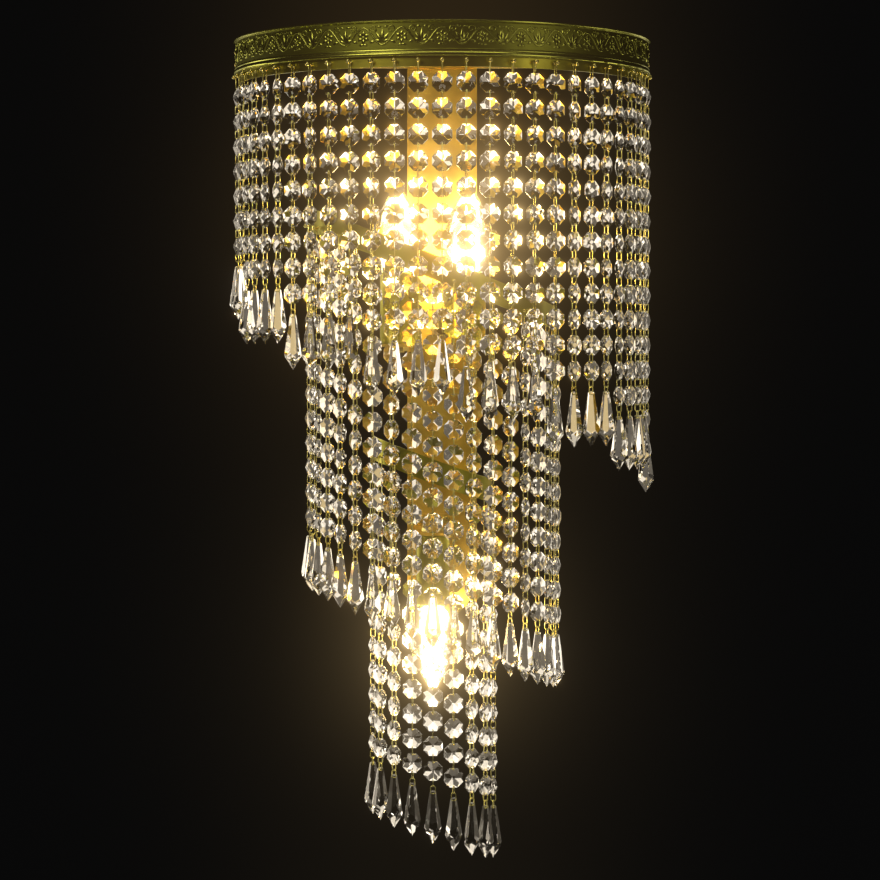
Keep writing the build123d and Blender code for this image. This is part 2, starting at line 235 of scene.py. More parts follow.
def drift(tree, where, scale, stretch=(1, 1, 1), detail=3.0):
    """Noise over the piece, from 0 to 1, stretched where a tool or a rolling mill has drawn it out."""
    mapping = tree.nodes.new("ShaderNodeMapping")
    mapping.inputs["Scale"].default_value = stretch
    noise = tree.nodes.new("ShaderNodeTexNoise")
    noise.inputs["Scale"].default_value = scale
    noise.inputs["Detail"].default_value = detail
    tree.links.new(where, mapping.inputs["Vector"])
    tree.links.new(mapping.outputs["Vector"], noise.inputs["Vector"])
    return noise.outputs["Fac"]


def between(tree, factor, low, high, start=0.35, end=0.65):
    """A number that follows factor from low to high."""
    ranged = tree.nodes.new("ShaderNodeMapRange")
    for socket, value in zip(("From Min", "From Max", "To Min", "To Max"), (start, end, low, high)):
        ranged.inputs[socket].default_value = value
    tree.links.new(factor, ranged.inputs["Value"])
    return ranged.outputs["Result"]


def two_tones(tree, factor, dark, light, start=0.35, end=0.65):
    """A colour that follows factor from dark to light."""
    ramp = tree.nodes.new("ShaderNodeValToRGB")
    ramp.color_ramp.elements[0].position = start
    ramp.color_ramp.elements[0].color = (*dark, 1)
    ramp.color_ramp.elements[1].position = end
    ramp.color_ramp.elements[1].color = (*light, 1)
    tree.links.new(factor, ramp.inputs["Fac"])
    return ramp.outputs["Color"]


def coat(shader, tree, tone, gloss):
    """Give a shader its colour and its roughness."""
    tree.links.new(tone, shader.inputs["Base Color"])
    tree.links.new(gloss, shader.inputs["Roughness"])


def bump(tree, shader, height, strength, distance=0.0002):
    """A fine grain that tilts the surface without moving it."""
    node = tree.nodes.new("ShaderNodeBump")
    node.inputs["Strength"].default_value = strength
    node.inputs["Distance"].default_value = distance
    tree.links.new(height, node.inputs["Height"])
    tree.links.new(node.outputs["Normal"], shader.inputs["Normal"])


# %% Brass finishes
def brass(name, dark, light, gloss, grain=(1, 1, 1), grain_scale=900.0, grain_bump=0.03):
    """Brass between two tones, with a gloss range and a fine grain."""
    shader, tree, where = finish_nodes(name)
    shader.inputs["Metallic"].default_value = 1.0
    coat(shader, tree, two_tones(tree, drift(tree, where, 28.0), dark, light),
         between(tree, drift(tree, where, 60.0), *gloss))
    bump(tree, shader, drift(tree, where, grain_scale, grain), grain_bump)


brass("satin_brass", (0.88, 0.58, 0.08), (0.98, 0.72, 0.14), (0.36, 0.48), (0.04, 1, 1))
brass("polished_brass", (0.33, 0.31, 0.028), (0.50, 0.47, 0.06), (0.28, 0.40))
brass("pin_brass", (0.88, 0.76, 0.20), (1.0, 0.92, 0.34), (0.16, 0.28))
brass("screw_brass", (0.62, 0.52, 0.14), (0.80, 0.68, 0.22), (0.16, 0.30))
brass("link_brass", (0.90, 0.80, 0.22), (1.0, 0.95, 0.40), (0.22, 0.34))
print("brass finishes:", len(finishes))

# %% [markdown]
# ## The embossed band's finish
# Pressed brass darkens where a cloth can't reach. The relief stands proud of the band's wall, so the
# distance from the hoop's upright axis says how deep a point lies: near the wall the brass is dull and
# brown, and on top of the leaves it is rubbed bright. Reading that distance from Object coordinates
# is cheaper and steadier than a dirt map, and it exports.

# %% Embossed brass
BAND_FACE = 147.54 * MM
RELIEF = 0.9 * MM
shader, tree, where = finish_nodes("embossed_brass")
shader.inputs["Metallic"].default_value = 1.0
flat = tree.nodes.new("ShaderNodeVectorMath")
flat.operation = "MULTIPLY"
flat.inputs[1].default_value = (1, 1, 0)
out = tree.nodes.new("ShaderNodeVectorMath")
out.operation = "LENGTH"
tree.links.new(where, flat.inputs[0])
tree.links.new(flat.outputs["Vector"], out.inputs[0])
depth = between(tree, out.outputs["Value"], 0.0, 1.0, BAND_FACE, BAND_FACE + 0.7 * RELIEF)
worn = calculate(tree, "MULTIPLY_ADD", drift(tree, where, 90.0), 0.35, depth)
coat(shader, tree, two_tones(tree, worn, (0.22, 0.235, 0.03), (0.54, 0.57, 0.10), 0.1, 0.9),
     between(tree, worn, 0.44, 0.26, 0.1, 0.9))
bump(tree, shader, drift(tree, where, 1500.0), 0.05)
print("embossed brass ready")

# %% [markdown]
# ## Crystal, bulb and the small plain finishes
# Cut lead crystal is clear, smooth and heavy, with an index of refraction near 1.55. Its look comes
# from what its facets bend and reflect, so the shader is a plain glass and the work goes into the
# facets and the lights. The bulbs are clear candle bulbs with a small capsule inside that glows. Its
# colour runs from amber at its ends to near white at its middle, carried by an attribute on the mesh,
# and the glass round it shines faintly in the same way.

# %% Crystal and bulb finishes
def glass_finish(name, index, dark, light, tone_scale, gloss_scale, dullest):
    """Clear glass that is a little warmer and duller in places."""
    shader, tree, where = finish_nodes(name)
    shader.inputs["Transmission Weight"].default_value = 1.0
    shader.inputs["IOR"].default_value = index
    coat(shader, tree, two_tones(tree, drift(tree, where, tone_scale), dark, light),
         between(tree, drift(tree, where, gloss_scale), 0.0, dullest))
    return shader, tree


def make_glow(shader, tree, cool, hot, start, end, strength):
    """Let a finish shine, from cool to hot, by the heat that is stored on the mesh."""
    heat = tree.nodes.new("ShaderNodeAttribute")
    heat.attribute_name = "heat"
    glow = two_tones(tree, heat.outputs["Fac"], cool, hot, start, end)
    tree.links.new(glow, shader.inputs["Emission Color"])
    shader.inputs["Emission Strength"].default_value = strength


def plain_finish(name, dark, light, gloss, metallic=0.0):
    """A finish without a pattern of its own, only a slight drift in tone and gloss."""
    shader, tree, where = finish_nodes(name)
    shader.inputs["Metallic"].default_value = metallic
    coat(shader, tree, two_tones(tree, drift(tree, where, 50.0), dark, light),
         between(tree, drift(tree, where, 120.0), *gloss))
    bump(tree, shader, drift(tree, where, 1200.0), 0.04)


glass_finish("crystal", 1.55, (0.97, 0.98, 1.0), (1.0, 0.995, 0.97), 40.0, 220.0, 0.015)
shader, tree = glass_finish("bulb_glass", 1.46, (1.0, 0.97, 0.92), (1.0, 0.99, 0.96), 30.0, 90.0, 0.02)
make_glow(shader, tree, (0.0, 0.0, 0.0), (1.0, 0.90, 0.68), 0.05, 1.0, 1.4)
shader, tree, where = finish_nodes("capsule_glow")
shader.inputs["Base Color"].default_value = (0.95, 0.90, 0.80, 1)
make_glow(shader, tree, (1.0, 0.70, 0.32), (1.0, 0.92, 0.72), 0.0, 0.8, 210.0)
plain_finish("holder_porcelain", (0.80, 0.78, 0.72), (0.88, 0.87, 0.83), (0.10, 0.20))
plain_finish("bush_plastic", (0.02, 0.02, 0.02), (0.04, 0.04, 0.04), (0.35, 0.50))
plain_finish("contact_steel", (0.50, 0.50, 0.50), (0.66, 0.66, 0.65), (0.20, 0.32), 1.0)
plain_finish("bulb_cap", (0.60, 0.60, 0.58), (0.76, 0.76, 0.74), (0.18, 0.34), 1.0)
print("finishes:", sorted(finishes))

# %% [markdown]
# ## One octagon and one drop
# The octagon is the bead of the whole sconce: cut on both sides into eight kite-shaped facets that
# meet in the middle, with a steeper sliver along each of its eight edges, and a thin polished rim. The
# drop is a six-sided icicle that widens downwards and closes in six kites. Both are modelled once, with
# flat faces, because a crystal facet is truly flat and smooth shading would blur it. They are repeated
# again and again, so each has only a few dozen faces.

# %% Octagon and drop shapes
def octagon_shape():
    """A cut octagon about the origin, facing -Y, with flat edges at its top and bottom."""
    apex, edge = 3.3 * MM, 0.5 * MM
    corner = BEAD_WIDTH / 2 / math.cos(math.pi / 8)
    inner = 4.9 * MM
    inner_depth = apex - (apex - edge) * inner * math.cos(math.pi / 8) / corner
    verts = []
    for side in (-1, 1):
        verts.append((0, side * apex, 0))
        for k in range(8):
            turn = math.radians(45 * k)
            verts.append((inner * math.cos(turn), side * inner_depth, inner * math.sin(turn)))
            turn += math.pi / 8
            verts.append((corner * math.cos(turn), side * edge, corner * math.sin(turn)))
    faces = []
    for start in (0, 17):
        ring = [start + 1 + i for i in range(16)]
        for k in range(0, 16, 2):
            faces.append((start, ring[k], ring[k + 1], ring[(k + 2) % 16]))
            faces.append((ring[k], ring[k - 1], ring[k + 1]))
    for i in range(1, 16, 2):
        n = (i + 2) % 16
        faces.append((1 + i, 18 + i, 18 + n, 1 + n))
    piece = new_object("octagon_shape", verts, faces)
    turn_outwards(piece)
    return piece


def drop_shape():
    """A cut icicle drop hanging from the origin, from (radius, height, first corner's turn) rings."""
    verts = []
    for radius, height, start in ((1.5, 0.0, 0), (2.2, -0.7, 0), (6.15, -27.0, 0), (5.624, -29.29, 30)):
        for k in range(6):
            turn = math.radians(start + 60 * k)
            verts.append((radius * MM * math.cos(turn), radius * MM * math.sin(turn), height * MM))
    verts.append((0, 0, -38 * MM))
    faces = [tuple(range(6))]
    for k in range(6):
        n = (k + 1) % 6
        faces.append((k, n, 6 + n, 6 + k))
        faces.append((6 + k, 6 + n, 12 + n, 18 + k, 12 + k))
        faces.append((12 + n, 18 + n, 24, 18 + k))
    piece = new_object("drop_shape", verts, faces)
    turn_outwards(piece)
    return piece


octagon = octagon_shape()
drop = drop_shape()
print("octagon faces:", len(octagon.data.polygons), " drop faces:", len(drop.data.polygons))

# %% [markdown]
# ## Wire links
# Neighbouring octagons are joined by a ring of brass wire that goes through a hole at the edge of
# each. A ring is a loop that is taller than it is deep, and it stands square to the crystal's face,
# so from the front it shows as a short bright line. Three lengths are needed: over the hook pin,
# between two octagons, and the pair of small rings that carries a drop.

# %% Link shapes
WIRE = 0.408 * MM                # the wire's half width across its corners
HOOK_TO_LINK = 3.95 * MM         # from the hook down to the middle of the first link
BEAD_TO_RINGS = (8.4 * MM, 13.4 * MM)    # from the last octagon to the middles of a drop's two rings


def link_shape(name, height, depth, steps=12, sides=4):
    """A closed wire loop with straight sides, standing in the YZ plane, centred on the origin."""
    verts = []
    for i in range(steps):
        turn = 2 * math.pi * (i + 0.5) / steps
        c, s = math.cos(turn), math.sin(turn)
        straight = (height - depth) / 2 * (1 if s > 0 else -1)
        centre = Vector((0, depth / 2 * c, depth / 2 * s + straight))
        outwards = Vector((0, c, s))
        for j in range(sides):
            around = 2 * math.pi * (j + 0.5) / sides
            reach = outwards * math.cos(around) + Vector((1, 0, 0)) * math.sin(around)
            verts.append(centre + WIRE * reach)
    piece = new_object(name, verts, between_loops(steps, sides, closed=True), smooth=True)
    turn_outwards(piece)
    return piece


bead_link = link_shape("bead_link_shape", 6.9 * MM, 3.4 * MM)
hook_link = link_shape("hook_link_shape", 9.9 * MM, 2.6 * MM)
ring_link = link_shape("ring_link_shape", 5.8 * MM, 3.6 * MM)
print("faces in one link:", len(bead_link.data.polygons))

# %% [markdown]
# ## The strands, by Geometry Nodes
# A strand follows a rule: from its hook, one octagon every 17.6 mm, each turned a little about the
# strand because a wire link lets it turn, then a drop. Placing six hundred crystals by hand would
# hide that rule. So the input is one point for each hook, and the node tree copies the point down
# the strand, turns each copy and puts a crystal on it. The tree's inputs are the sizes: the number of
# octagons, the spacing, the distance to the first and how far they turn.

# %% Node helpers
def new_tree(name, inputs):
    """A Geometry Nodes tree with a geometry in and out and the given (name, kind) inputs."""
    tree = bpy.data.node_groups.new(name, "GeometryNodeTree")
    tree.interface.new_socket("Geometry", in_out="INPUT", socket_type="NodeSocketGeometry")
    for socket, kind in inputs:
        tree.interface.new_socket(socket, in_out="INPUT", socket_type=f"NodeSocket{kind}")
    tree.interface.new_socket("Geometry", in_out="OUTPUT", socket_type="NodeSocketGeometry")
    return tree, tree.nodes.new("NodeGroupInput").outputs


def vector(tree, **parts):
    """A vector from its X, Y and Z parts; a part that isn't given is 0."""
    node = tree.nodes.new("ShaderNodeCombineXYZ")
    for axis, value in parts.items():
        feed(tree, node.inputs[axis], value)
    return node.outputs[0]


def read(tree, name):
    """A number stored on the points."""
    node = tree.nodes.new("GeometryNodeInputNamedAttribute")
    node.data_type = "FLOAT"
    node.inputs["Name"].default_value = name
    return node.outputs["Attribute"]


def after(tree, geometry, kind):
    """A new node that takes the given geometry in."""
    node = tree.nodes.new(kind)
    tree.links.new(geometry, node.inputs[0])
    return node


def copied(tree, points, amount):
    """Each point copied the given number of times, and the number of each copy."""
    rows = after(tree, points, "GeometryNodeDuplicateElements")
    rows.domain = "POINT"
    tree.links.new(amount, rows.inputs["Amount"])
    return rows.outputs["Geometry"], rows.outputs["Duplicate Index"]


def put_on_points(tree, points, shape, below=0.0, turn=0.0):
    """Copies of a shape below the points, turned about the vertical."""
    moved = after(tree, points, "GeometryNodeSetPosition")
    tree.links.new(vector(tree, Z=calculate(tree, "MULTIPLY", below, -1.0)), moved.inputs["Offset"])
    model = tree.nodes.new("GeometryNodeObjectInfo")
    tree.links.new(shape, model.inputs["Object"])
    placed = after(tree, moved.outputs["Geometry"], "GeometryNodeInstanceOnPoints")
    tree.links.new(model.outputs["Geometry"], placed.inputs["Instance"])
    tree.links.new(vector(tree, Z=turn), placed.inputs["Rotation"])
    return placed.outputs["Instances"]


def close_tree(tree, parts, finish):
    """Join the parts, make them real, give them their material and send them out."""
    join = tree.nodes.new("GeometryNodeJoinGeometry")
    for part in parts:
        tree.links.new(part, join.inputs["Geometry"])
    real = after(tree, join.outputs[0], "GeometryNodeRealizeInstances")
    painted = after(tree, real.outputs[0], "GeometryNodeSetMaterial")
    tree.links.new(finish, painted.inputs["Material"])
    after(tree, painted.outputs[0], "NodeGroupOutput")


def points_with(places, **numbers):
    """An object with a point at each place, which stores the given numbers."""
    points = new_object("points", places, [])
    for name, values in numbers.items():
        points.data.attributes.new(name, "FLOAT", "POINT").data.foreach_set("value", values)
    return points


def grow(name, points, tree, values):
    """Run a tree on an object's points and keep the result as a plain mesh."""
    modifier = points.modifiers.new("grow", "NODES")
    modifier.node_group = tree
    sockets = {item.name: item.identifier for item in tree.interface.items_tree if item.in_out == "INPUT"}
    for key, value in values.items():
        modifier[sockets[key]] = value
    evaluated = points.evaluated_get(bpy.context.evaluated_depsgraph_get())
    mesh = bpy.data.meshes.new_from_object(evaluated)
    points.modifiers.remove(modifier)
    bpy.data.objects.remove(points)
    mesh.name = name
    piece = bpy.data.objects.new(name, mesh)
    scene.collection.objects.link(piece)
    return piece


# How far the waves that turn strands, octagons and drops move on from each to the next, in radians.
STRAND_STEP, OCTAGON_STEP, DROP_STEP = 2.4, 1.7, 1.9


def octagon_turn(tree, row, strand, bearing, size):
    """The hoop's bearing, plus the strand's own turn, plus a little more for each octagon."""
    strand_wave = calculate(tree, "SINE", calculate(tree, "MULTIPLY", strand, STRAND_STEP))
    octagon_wave = calculate(tree, "SINE", calculate(tree, "MULTIPLY_ADD", row, OCTAGON_STEP, strand))
    turned = calculate(tree, "MULTIPLY_ADD", strand_wave, size["Strand turn"], bearing)
    return calculate(tree, "MULTIPLY_ADD", octagon_wave, size["Octagon turn"], turned)


print("node helpers ready")

# %% The strand of crystals
STRAND_INPUTS = [("Octagons", "Int"), ("Spacing", "Float"), ("Hook to first", "Float"),
                 ("Strand turn", "Float"), ("Octagon turn", "Float"), ("Finish", "Material")]
crystal_tree, size = new_tree("strand of crystals", [
    ("Octagon", "Object"), ("Drop", "Object"), ("Last to drop", "Float")] + STRAND_INPUTS)
work_out = partial(calculate, crystal_tree)
rows, row = copied(crystal_tree, size["Geometry"], size["Octagons"])
bearing = read(crystal_tree, "bearing")
strand = read(crystal_tree, "strand")
below = work_out("MULTIPLY_ADD", row, size["Spacing"], size["Hook to first"])
sway = octagon_turn(crystal_tree, row, strand, bearing, size)
octagons = put_on_points(crystal_tree, rows, size["Octagon"], below, sway)
last = work_out("SUBTRACT", size["Octagons"], 1.0)
below = work_out("MULTIPLY_ADD", last, size["Spacing"], size["Hook to first"])
below = work_out("ADD", below, size["Last to drop"])
phase = work_out("COSINE", work_out("MULTIPLY", strand, DROP_STEP))
sway = work_out("MULTIPLY_ADD", phase, size["Strand turn"], bearing)
drops = put_on_points(crystal_tree, size["Geometry"], size["Drop"], below, sway)
close_tree(crystal_tree, [octagons, drops], size["Finish"])
print("strand tree:", len(crystal_tree.nodes), "nodes")

# %% [markdown]
# The links follow the same points. Between two octagons a link takes the turn halfway between theirs,
# which is the rule read half a row lower. The first link stands square to the hoop, because the pin
# holds it, and the two rings over a drop stand across each other, as rings in a chain do.

# %% The strand of links
link_tree, size = new_tree("strand of links", [
    ("Link", "Object"), ("Hook link", "Object"), ("Ring", "Object")] + STRAND_INPUTS)
work_out = partial(calculate, link_tree)
bearing = read(link_tree, "bearing")
strand = read(link_tree, "strand")
last = work_out("SUBTRACT", size["Octagons"], 1.0)
rows, number = copied(link_tree, size["Geometry"], last)
row = work_out("ADD", number, 0.5)
below = work_out("MULTIPLY_ADD", row, size["Spacing"], size["Hook to first"])
sway = octagon_turn(link_tree, row, strand, bearing, size)
parts = [put_on_points(link_tree, rows, size["Link"], below, sway),
         put_on_points(link_tree, size["Geometry"], size["Hook link"], HOOK_TO_LINK, bearing)]
end = work_out("MULTIPLY_ADD", last, size["Spacing"], size["Hook to first"])
for below, turn in zip(BEAD_TO_RINGS, (0.0, math.pi / 2)):
    parts.append(put_on_points(link_tree, size["Geometry"], size["Ring"], work_out("ADD", end, below),
                               work_out("ADD", bearing, turn)))
close_tree(link_tree, parts, size["Finish"])
print("link tree:", len(link_tree.nodes), "nodes")

# %% [markdown]
# Neighbouring strands that swing together are one body of the CAD model, so each such group becomes
# one piece of crystals and one piece of links, and both ride on that body. Glass throws no hard shadow,
# so the crystals cast none.

# %% Hang every group of strands
def hooks(tier, first, count):
    """A point for each hook, which knows its bearing and its number in the tier."""
    bearings = tier_bearings(tier)[first:first + count]
    return points_with([hook_place(tier, b) for b in bearings],
                       bearing=[math.radians(b) for b in bearings],
                       strand=[float(first + i) for i in range(count)])


crystal_count = 0
for tier, sizes in TIERS.items():
    first = 0
    for number, (count, beads) in enumerate(zip(sizes["groups"], sizes["beads"]), start=1):
        body = f"{tier}_strands_{number}"
        shared = {"Octagons": beads, "Spacing": BEAD_PITCH, "Hook to first": HOOK_TO_BEAD,
                  "Strand turn": math.radians(sizes["turn"]), "Octagon turn": BEAD_TURN}
        crystals = grow(f"cut_crystals_{tier}_{number}", hooks(tier, first, count), crystal_tree,
                        {**shared, "Octagon": octagon, "Drop": drop, "Last to drop": BEAD_TO_DROP,
                         "Finish": finishes["crystal"]})
        settle(crystals, body, "crystal", f"crystals_{tier}_{number}")
        crystals.visible_shadow = False
        wire = grow(f"wire_links_{tier}_{number}", hooks(tier, first, count), link_tree,
                    {**shared, "Link": bead_link, "Hook link": hook_link, "Ring": ring_link,
                     "Finish": finishes["link_brass"]})
        settle(wire, body, "link_brass", f"links_{tier}_{number}")
        crystal_count += count * (beads + 1)
        first += count
for shape in (octagon, drop, bead_link, hook_link, ring_link):
    bpy.data.objects.remove(shape)
print("crystals hung:", crystal_count)

# %% [markdown]
# ## Hook pins
# Each strand hangs on a short brass pin that is riveted through the hoop and ends in a small ball, so
# the link can't slip off. All fifty-five are alike and all stand straight out of their hoops, so the
# pin is turned once and a small tree sets it at every hook, facing along the bearing.

# %% A tree that sets one shape at many places
place_tree, size = new_tree("one shape at many places", [("Shape", "Object"), ("Finish", "Material")])
spots = put_on_points(place_tree, size["Geometry"], size["Shape"], turn=read(place_tree, "turn"))
close_tree(place_tree, [spots], size["Finish"])


def set_out(name, shape, places, finish):
    """A piece made of one shape at each (point, turn about the vertical in degrees)."""
    points = points_with([place for place, turn in places],
                         turn=[math.radians(turn) for place, turn in places])
    piece = grow(name, points, place_tree, {"Shape": shape, "Finish": finishes[finish]})
    bpy.data.objects.remove(shape)
    return piece


TO_FRONT = Matrix.Rotation(math.radians(90), 4, "X")
print("place tree:", len(place_tree.nodes), "nodes")

# %% Hook pins
PIN_PROFILE = [(1.3, 0), (1.3, 0.35), (0.6, 0.6), (0.6, 2.7), (0.95, 2.95), (1.38, 3.45), (1.5, 4.0),
               (1.38, 4.55), (0.95, 5.05), (0, 5.35)]
pin = lathe("pin_shape", in_mm(PIN_PROFILE), 12)
pin.data.transform(TO_FRONT)
places = []
for tier, sizes in TIERS.items():
    for bearing in tier_bearings(tier):
        inwards = Matrix.Rotation(math.radians(bearing), 3, "Z") @ Vector((0, PIN_REACH / 2, 0))
        places.append((hook_place(tier, bearing) + inwards, bearing))
pins = set_out("ball_head_pins", pin, places, "pin_brass")
settle(pins, "root", "pin_brass", "hook_pins")
print("pins:", len(places))

# %% [markdown]
# ## Rivets and screws
# The rivets at the hoop ends have a domed head outside and a flatter closed head inside. The screws in
# the wall plate are pan heads with a straight slot. The slot is cut with a Boolean while the screw is
# still one small mesh. Rivets differ in length and screws in how far they were driven round, so these
# few are placed one by one and joined.

# %% Rivets
RIVET_Y = -6.6
# The hoop's middle, the inner and outer faces that a rivet joins, its side and its height, in mm.
RIVETS = [(0, 143.46, 147.54, 1, 189.5), (0, 143.46, 147.54, 1, 198.1), (0, 143.46, 147.54, -1, 189.5),
          (0, 143.46, 147.54, -1, 198.1), (-6.5, 85.02, 87.81, -1, 77.52), (-6.5, 85.02, 87.81, 1, 7.28),
          (-6.5, 38.76, 43.22, -1, -85.30), (-6.5, 38.76, 43.22, 1, -116.42)]


def rivet_shape(inside, outside):
    """A rivet along +Z: the closed head at inside, the domed head at outside."""
    head = inside - 1.5
    profile = [(0, head - 1.2), (1.7, head - 1.1), (2.3, head - 0.6), (2.4, head), (1.6, head + 0.05),
               (1.6, outside), (2.4, outside), (2.3, outside + 0.45), (1.8, outside + 0.9),
               (1.0, outside + 1.15), (0, outside + 1.2)]
    return lathe("rivet_shape", in_mm(profile), 24)


parts = []
for shift, inside, outside, side, height in RIVETS:
    place = Matrix.Translation((shift * MM, RIVET_Y * MM, height * MM))
    outwards = Matrix.Rotation(math.radians(90 * side), 4, "Y")
    parts.append((rivet_shape(inside, outside), place @ outwards))
rivets = joined("domed_rivets", parts)
settle(rivets, "root", "screw_brass", "band_rivets")
print("rivets:", len(RIVETS))

# %% Pan-head screws
# Each screw's x and z, and how far its seat stands in front of the wall plate's back, in mm.
SCREWS = [(-15, 193.8, 3.5), (15, 193.8, 3.5), (-15, 45.8, 3.5), (15, 33.8, 3.5), (-15, -97.8, 3.5),
          (15, -108.6, 3.5), (-16.5, -22.9, 4.0), (3.5, -22.9, 4.0), (-15.5, -138.0, 4.0),
          (2.5, -138.0, 4.0)]
HEAD_PROFILE = [(1.95, 0), (3.7, 0), (3.7, 0.9), (3.4, 1.5), (2.7, 1.95), (1.6, 2.15), (0, 2.2)]
SLOT_REACH, SLOT_HALF, SLOT_FLOOR, SLOT_TOP = 5, 0.45, 1.1, 3
DRIVEN_ROUND = 0.7               # radians, how much further each screw was turned than the last


def screw_shape(seat):
    """A pan-head screw along +Z with its seat at the origin and a slot across its head."""
    screw = lathe("screw_shape", in_mm([(0, -seat), (1.95, -seat)] + HEAD_PROFILE), 32)
    corners = [(x * SLOT_REACH, y * SLOT_HALF, z) for z in (SLOT_FLOOR, SLOT_TOP)
               for x, y in ((-1, -1), (1, -1), (1, 1), (-1, 1))]
    slot = new_object("slot_cutter", in_mm(corners), [(3, 2, 1, 0), (4, 5, 6, 7)] + between_loops(2, 4))
    cut = screw.modifiers.new("slot", "BOOLEAN")
    cut.object = slot
    cut.operation = "DIFFERENCE"
    mesh = bpy.data.meshes.new_from_object(screw.evaluated_get(bpy.context.evaluated_depsgraph_get()))
    screw.modifiers.clear()
    screw.data = mesh
    bpy.data.objects.remove(slot)
    return screw


parts = []
for i, (x, z, seat) in enumerate(SCREWS):
    place = Matrix.Translation((x * MM, -seat * MM, z * MM)) @ TO_FRONT
    parts.append((screw_shape(seat), place @ Matrix.Rotation(DRIVEN_ROUND * i, 4, "Z")))
screws = joined("pan_head_screws", parts)
settle(screws, "root", "screw_brass", "frame_screws")
print("screws:", len(SCREWS))

# %% [markdown]
# ## The pressed band
# The band is thin brass rolled with two mouldings and pressed between dies, which raise a running vine
# of flowers, leaves and curled tendrils. The plain section is swept round the hoop. The relief could
# be a displacement map, but a map that is fine enough for a leaf's edge needs a great many faces. So
# one repeat of the vine is modelled flat, as raised pieces of metal, and a node tree repeats it along
# a line and bends the line round the hoop, as the rolling mill does.

# %% The band's section
def swept_round(name, section, back, steps=160):
    """Sweep a closed (radius, height) section, in mm, round the front half of a hoop."""
    verts = []
    for i in range(steps + 1):
        for radius, height in section:
            limit = math.acos(back / radius)
            turn = limit * (2 * i / steps - 1)
            verts.append((radius * MM * math.sin(turn), -radius * MM * math.cos(turn), height * MM))
    count = len(section)
    ends = [tuple(range(count)), tuple(range(steps * count, (steps + 1) * count))]
    piece = new_object(name, verts, ends + between_loops(steps + 1, count), smooth=True)
    turn_outwards(piece)
    piece.data.set_sharp_from_angle(angle=math.radians(35))
    return piece


BAND_SECTION = [(145.74, 181.2), (148.3, 181.2), (148.8, 181.45), (149.1, 182.0), (149.14, 182.9),
                (148.9, 183.6), (148.45, 184.0), (148.35, 184.35), (148.6, 184.7), (148.65, 185.2),
                (148.4, 185.75), (147.9, 186.0), (147.54, 186.4), (147.54, 203.3), (147.9, 203.75),
                (148.7, 204.0), (149.1, 204.4), (149.1, 205.0), (148.7, 205.35), (148.2, 205.4),
                (145.74, 205.4)]
band = swept_round("pressed_band", BAND_SECTION, PLATE)
print("band faces:", len(band.data.polygons))


# %% One repeat of the vine, drawn flat
class Sheet:
    """Raised metal drawn on a flat sheet: x along the band, z up it and -y towards the viewer, in mm."""

    def __init__(self):
        self.verts = []
        self.faces = []

    def ribbon(self, line, halves, crowns, section, rise):
        """Metal raised along a line: its half width and its share of the rise at each point."""
        rows = []
        for i, (x, z) in enumerate(line):
            ax, az = line[max(i - 1, 0)]
            bx, bz = line[min(i + 1, len(line) - 1)]
            length = math.hypot(bx - ax, bz - az) or 1
            nx, nz = -(bz - az) / length, (bx - ax) / length
            rows.append(len(self.verts))
            for across, up in section:
                reach = halves[i] * across
                height = rise * up * (crowns[i] if up > 0 else 1)
                self.verts.append((x + nx * reach, -height, z + nz * reach))
        for a, b in zip(rows, rows[1:]):
            self.faces += [(a + j, b + j, b + j + 1, a + j + 1) for j in range(4)]

    def stem(self, line, widths, rise):
        """A rounded stem along a line, with a width at each point."""
        self.ribbon(line, widths, [1] * len(line),
                    ((-1, -0.15), (-0.6, 0.8), (0, 1), (0.6, 0.8), (1, -0.15)), rise)

    def leaf(self, x, z, length, width, turn, rise, cells=6):
        """A pointed leaf with a sunk midrib, from its stalk end at (x, z)."""
        c, s = math.cos(math.radians(turn)), math.sin(math.radians(turn))
        shares = [i / cells for i in range(cells + 1)]
        halves = [width / 2 * math.sin(math.pi * t ** 0.8) ** 0.8 if 0 < t < 1 else 0.02 for t in shares]
        crowns = [math.sin(math.pi * min(max(t, 0.08), 0.92)) for t in shares]
        self.ribbon([(x + c * t * length, z + s * t * length) for t in shares], halves, crowns,
                    ((-1, -0.15), (-0.55, 1), (0, 0.55), (0.55, 1), (1, -0.15)), rise)

    def boss(self, x, z, radius, rise, sides=10):
        """A round button."""
        rows = []
        for share, up in ((1, -0.15), (0.8, 0.75), (0.45, 1)):
            rows.append(len(self.verts))
            for k in range(sides):
                turn = 2 * math.pi * k / sides
                self.verts.append((x + radius * share * math.cos(turn), -rise * up,
                                   z + radius * share * math.sin(turn)))
        self.verts.append((x, -rise * 1.05, z))
        for a, b in zip(rows, rows[1:]):
            self.faces += [(a + k, a + (k + 1) % sides, b + (k + 1) % sides, b + k) for k in range(sides)]
        top = len(self.verts) - 1
        self.faces += [(rows[-1] + k, rows[-1] + (k + 1) % sides, top) for k in range(sides)]


REPEATS = 17
STEM_CELLS, CURL_POINTS = 26, 16
WALL_MIDDLE = 194.9 * MM         # the middle height of the band's plain wall
REPEAT = 2 * math.acos(PLATE * MM / BAND_FACE) * BAND_FACE / MM / REPEATS
vine = Sheet()
# The running stem, a wave once over the repeat.
shares = [i / STEM_CELLS - 0.5 for i in range(STEM_CELLS + 1)]
wave = [(REPEAT * share, 5.7 * math.cos(2 * math.pi * share)) for share in shares]
vine.stem(wave, [0.75] * len(wave), 0.7)
# A six-petalled flower under its crest.
for k in range(6):
    turn = math.radians(30 + 60 * k)
    vine.leaf(0.7 * math.cos(turn), -0.6 + 0.7 * math.sin(turn), 4.0, 3.1, 30 + 60 * k, 0.85, 5)
vine.boss(0, -0.6, 1.25, 1.1)
